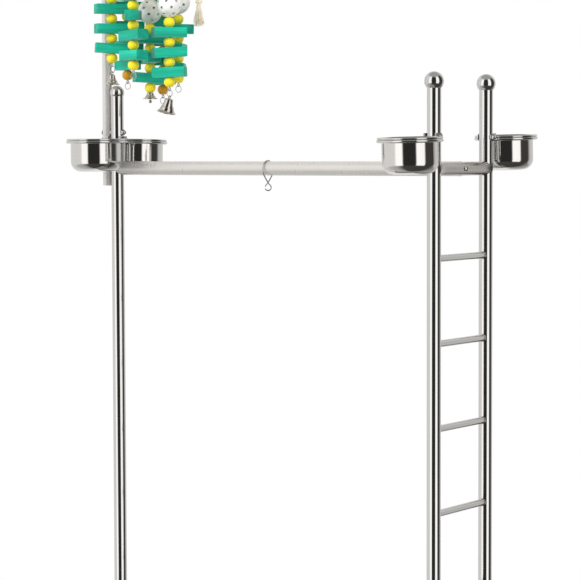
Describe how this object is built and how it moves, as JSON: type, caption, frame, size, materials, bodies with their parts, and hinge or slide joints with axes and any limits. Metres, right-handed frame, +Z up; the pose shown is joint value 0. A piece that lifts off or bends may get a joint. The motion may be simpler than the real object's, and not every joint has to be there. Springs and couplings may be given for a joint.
{
  "type": "parrot play stand",
  "caption": "Metal bird play stand: a round perch between a post and a ladder, lift-out food cups, a block toy with bells on a crooked pole, and a wheeled base with a tray.",
  "frame": {"origin": "centre of the wheeled base on the floor", "axes": "+X along the perch from the single post to the ladder, -Y towards the front, +Z up"},
  "size_m": [0.9135, 0.572, 1.6943],
  "materials": {
    "polished_tube": "polished stainless steel tube and rod",
    "satin_tube": "satin stainless steel tube",
    "base_tube": "satin stainless steel square tube",
    "cup_steel": "mirror polished stainless steel",
    "tray_sheet": "satin stainless steel sheet",
    "fastener": "stainless steel fasteners",
    "zinc": "zinc plated steel",
    "crook_plug": "black plastic",
    "end_cap": "black plastic",
    "caster_wheel": "black hard plastic",
    "toy_wire": "bright plated wire",
    "painted_slat": "teal stained wood, satin",
    "painted_bead": "yellow painted wood, satin",
    "air_ball": "white plastic with air holes",
    "natural_wood": "natural wood, unfinished",
    "bell": "bright nickel plate",
    "cotton": "twisted cotton, undyed"
  },
  "bodies": {
    "stand": {"acorn_nuts": "fastener", "base_cross_left": "base_tube", "base_cross_right": "base_tube", "base_rail_back": "base_tube", "base_rail_front": "base_tube", "caster_stems": "zinc", "crook_plug": "crook_plug", "crook_screw_eye": "zinc", "cross_bolts": "fastener", "cross_nut_plugs": "zinc", "cup_ring_ladder_back": "cup_steel", "cup_ring_ladder_front": "cup_steel", "cup_ring_left_back": "cup_steel", "cup_ring_left_front": "cup_steel", "finials": "polished_tube", "ladder_head_bar": "satin_tube", "ladder_post_back": "polished_tube", "ladder_post_front": "polished_tube", "ladder_rungs": "polished_tube", "left_post": "polished_tube", "perch": "satin_tube", "perch_end_plugs": "zinc", "perch_screw": "fastener", "pole_bolts": "fastener", "pole_spacers": "fastener", "post_foot_bolts": "fastener", "post_foot_plugs": "zinc", "rail_end_caps": "end_cap", "ring_bolts": "fastener", "toy_pole": "satin_tube"},
    "tray": {"tray": "tray_sheet"},
    "swivel_front_left": {"caster_fork_front_left": "zinc"},
    "wheel_front_left": {"caster_wheel_front_left": "caster_wheel"},
    "swivel_front_right": {"caster_fork_front_right": "zinc"},
    "wheel_front_right": {"caster_wheel_front_right": "caster_wheel"},
    "swivel_back_left": {"caster_fork_back_left": "zinc"},
    "wheel_back_left": {"caster_wheel_back_left": "caster_wheel"},
    "swivel_back_right": {"caster_fork_back_right": "zinc"},
    "wheel_back_right": {"caster_wheel_back_right": "caster_wheel"},
    "cup_left_front": {"cup_left_front": "cup_steel"},
    "cup_left_back": {"cup_left_back": "cup_steel"},
    "cup_ladder_front": {"cup_ladder_front": "cup_steel"},
    "cup_ladder_back": {"cup_ladder_back": "cup_steel"},
    "perch_toy_hook": {"perch_toy_hook": "toy_wire"},
    "quick_link": {"quick_link": "zinc"},
    "toy": {"plate_eye_bolt": "zinc", "toy_plate": "natural_wood", "strand_wires": "toy_wire", "toy_slats": "painted_slat", "toy_beads": "painted_bead", "toy_air_balls": "air_ball", "split_rings": "toy_wire", "toy_rope": "cotton", "rope_tassel": "cotton"},
    "bell_a": {"bell_a": "bell"},
    "clapper_a": {"bell_clapper_a": "bell"},
    "bell_c": {"bell_c": "bell"},
    "clapper_c": {"bell_clapper_c": "bell"},
    "bell_d": {"bell_d": "bell"},
    "clapper_d": {"bell_clapper_d": "bell"}
  },
  "joints": [
    {"name": "tray_lift", "type": "slide", "parent": "stand", "child": "tray", "axis": [0, 0, 1], "range_m": [0, 0.25]},
    {"name": "swivel_front_left", "type": "hinge", "parent": "stand", "child": "swivel_front_left", "pos_m": [-0.425, -0.265, 0.09], "axis": [0, 0, 1], "continuous": true},
    {"name": "wheel_spin_front_left", "type": "hinge", "parent": "swivel_front_left", "child": "wheel_front_left", "pos_m": [-0.4, -0.265, 0.0375], "axis": [0, 1, 0], "continuous": true},
    {"name": "swivel_front_right", "type": "hinge", "parent": "stand", "child": "swivel_front_right", "pos_m": [0.425, -0.265, 0.09], "axis": [0, 0, 1], "continuous": true},
    {"name": "wheel_spin_front_right", "type": "hinge", "parent": "swivel_front_right", "child": "wheel_front_right", "pos_m": [0.4, -0.265, 0.0375], "axis": [0, 1, 0], "continuous": true},
    {"name": "swivel_back_left", "type": "hinge", "parent": "stand", "child": "swivel_back_left", "pos_m": [-0.425, 0.265, 0.09], "axis": [0, 0, 1], "continuous": true},
    {"name": "wheel_spin_back_left", "type": "hinge", "parent": "swivel_back_left", "child": "wheel_back_left", "pos_m": [-0.4, 0.265, 0.0375], "axis": [0, 1, 0], "continuous": true},
    {"name": "swivel_back_right", "type": "hinge", "parent": "stand", "child": "swivel_back_right", "pos_m": [0.425, 0.265, 0.09], "axis": [0, 0, 1], "continuous": true},
    {"name": "wheel_spin_back_right", "type": "hinge", "parent": "swivel_back_right", "child": "wheel_back_right", "pos_m": [0.4, 0.265, 0.0375], "axis": [0, 1, 0], "continuous": true},
    {"name": "cup_lift_left_front", "type": "slide", "parent": "stand", "child": "cup_left_front", "axis": [0.0005, -0.0087, 1], "range_m": [0, 0.065]},
    {"name": "cup_lift_left_back", "type": "slide", "parent": "stand", "child": "cup_left_back", "axis": [-0.0014, 0.0261, 0.9997], "range_m": [0, 0.065]},
    {"name": "cup_lift_ladder_front", "type": "slide", "parent": "stand", "child": "cup_ladder_front", "axis": [-0.003, -0.0348, 0.9994], "range_m": [0, 0.065]},
    {"name": "cup_lift_ladder_back", "type": "slide", "parent": "stand", "child": "cup_ladder_back", "axis": [0, 0, 1], "range_m": [0, 0.065]},
    {"name": "hook_swing", "type": "hinge", "parent": "stand", "child": "perch_toy_hook", "pos_m": [-0.028, 0, 1.14], "axis": [1, 0, 0], "continuous": true},
    {"name": "link_swing", "type": "hinge", "parent": "stand", "child": "quick_link", "pos_m": [-0.3189, 0, 1.5935], "axis": [1, 0, 0], "range_deg": [-20, 6]},
    {"name": "toy_swing", "type": "hinge", "parent": "quick_link", "child": "toy", "pos_m": [-0.3189, 0, 1.5621], "axis": [0, 1, 0], "range_deg": [-25, 1]},
    {"name": "bell_a_swing", "type": "hinge", "parent": "toy", "child": "bell_a", "pos_m": [-0.3729, -0.0425, 1.32855], "axis": [1, 0, 0], "range_deg": [-30, 30]},
    {"name": "bell_d_swing", "type": "hinge", "parent": "toy", "child": "bell_d", "pos_m": [-0.2479, -0.02, 1.27955], "axis": [1, 0, 0], "range_deg": [-30, 30]},
    {"name": "bell_c_spin", "type": "hinge", "parent": "toy", "child": "bell_c", "pos_m": [-0.3189, 0.01, 1.289], "axis": [0, 0, 1], "continuous": true},
    {"name": "clapper_a_swing", "type": "hinge", "parent": "bell_a", "child": "clapper_a", "pos_m": [-0.3729, -0.0425, 1.31835], "axis": [1, 0, 0], "range_deg": [-30, 30]},
    {"name": "clapper_d_swing", "type": "hinge", "parent": "bell_d", "child": "clapper_d", "pos_m": [-0.25054, -0.02, 1.2697], "axis": [-0.9659, 0, 0.2588], "range_deg": [-25, 25]},
    {"name": "clapper_c_swing", "type": "hinge", "parent": "toy", "child": "clapper_c", "pos_m": [-0.3189, 0.01, 1.28055], "axis": [0, 1, 0], "range_deg": [-35, 35]}
  ]
}
